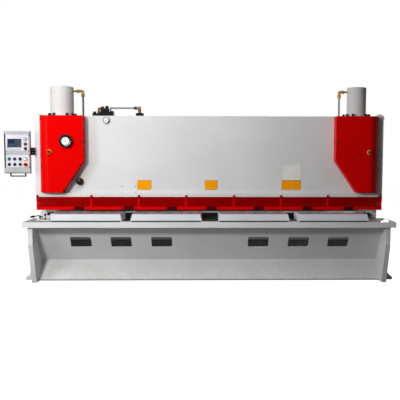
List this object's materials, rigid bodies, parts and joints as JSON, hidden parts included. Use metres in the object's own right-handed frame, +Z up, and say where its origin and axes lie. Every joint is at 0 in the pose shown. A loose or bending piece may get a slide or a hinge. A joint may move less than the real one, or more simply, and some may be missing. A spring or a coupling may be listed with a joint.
{
  "type": "hydraulic guillotine shear",
  "caption": "Floor-standing hydraulic guillotine shear with side frames, table, ram with raked blade, finger guard, end covers, cylinders and a swinging control box.",
  "frame": {"origin": "centre of the rectangle of the four anchor bolts, at floor level", "axes": "+Z up, +Y from the operator's side to the back, +X to the operator's right, along the blades"},
  "size_m": [5.023, 1.65, 2.52],
  "materials": {
    "white_paint": "satin white enamel with light orange peel",
    "red_paint": "gloss red enamel",
    "grey_paint": "satin grey enamel",
    "motor_paint": "blue-grey enamel",
    "machined_steel": "machined and lightly oiled",
    "blade_steel": "ground tool steel",
    "polished_rod": "hard chromed and ground",
    "pipe_steel": "zinc plated",
    "brass": "turned brass",
    "black_oxide": "black oxide",
    "black_plastic": "moulded black plastic",
    "dial_white": "white dial face",
    "gauge_chrome": "chromed bezel",
    "stop_plastic": "red head on a yellow collar",
    "yellow_plate": "bare yellow plate",
    "white_plate": "bare white plate",
    "aluminium_shell": "anodised extrusion",
    "panel_sheet": "satin front sheet"
  },
  "bodies": {
    "frame": {"left_side_frame": "white_paint", "right_side_frame": "white_paint", "levelling_screws": "machined_steel", "table_bed": "white_paint", "apron": "white_paint", "table_plate_1": "white_paint", "table_plate_2": "white_paint", "table_plate_3": "white_paint", "table_plate_4": "white_paint", "table_bolts": "black_oxide", "lower_blade": "blade_steel", "front_panel": "white_paint", "finger_guard": "red_paint", "hold_down_cylinders": "grey_paint", "left_cover": "red_paint", "right_cover": "red_paint", "cylinder_seats": "white_paint", "left_cylinder": "grey_paint", "right_cylinder": "grey_paint", "ram_guides": "machined_steel", "left_pipe": "pipe_steel", "right_pipe": "pipe_steel", "pipe_fittings": "brass", "valve_manifold": "black_oxide", "pump_pipe": "pipe_steel", "oil_tank": "white_paint", "pump_motor": "motor_paint", "rear_ties": "white_paint", "sheet_chute": "black_oxide", "handwheel_bush": "machined_steel", "emergency_stops": "stop_plastic", "blade_gap_scale": "yellow_plate", "pressure_gauge": "gauge_chrome", "yellow_plates": "yellow_plate", "white_plate": "white_plate", "pendant_hinge": "black_plastic", "table_levers": "black_plastic"},
    "ram": {"piston_rods": "polished_rod", "ram": "white_paint", "upper_blade": "blade_steel", "back_gauge": "machined_steel"},
    "hold_downs": {"hold_down_feet": "black_oxide"},
    "handwheel": {"handwheel": "black_plastic", "handwheel_dial": "dial_white"},
    "gap_knob": {"blade_gap_knob": "black_plastic"},
    "pendant": {"pendant_box": "aluminium_shell", "pendant_panels": "panel_sheet", "pendant_controls": "black_plastic", "pendant_handle": "black_plastic"}
  },
  "joints": [
    {"name": "ram_stroke", "type": "slide", "parent": "frame", "child": "ram", "axis": [0, 0, -1], "range_m": [0, 0.12]},
    {"name": "hold_down_travel", "type": "slide", "parent": "frame", "child": "hold_downs", "axis": [0, 0, -1], "range_m": [0, 0.015]},
    {"name": "handwheel_turn", "type": "hinge", "parent": "frame", "child": "handwheel", "pos_m": [-1.83, -0.66, 1.798], "axis": [0, 1, 0], "continuous": true},
    {"name": "blade_gap_turn", "type": "hinge", "parent": "frame", "child": "gap_knob", "pos_m": [-1.691, -0.52, 1.281], "axis": [0, -1, 0], "range_deg": [0, 270]},
    {"name": "pendant_swivel", "type": "hinge", "parent": "frame", "child": "pendant", "pos_m": [-2.267, -0.571, 1.665], "axis": [0, 0, 1], "range_deg": [-30, 75]}
  ]
}
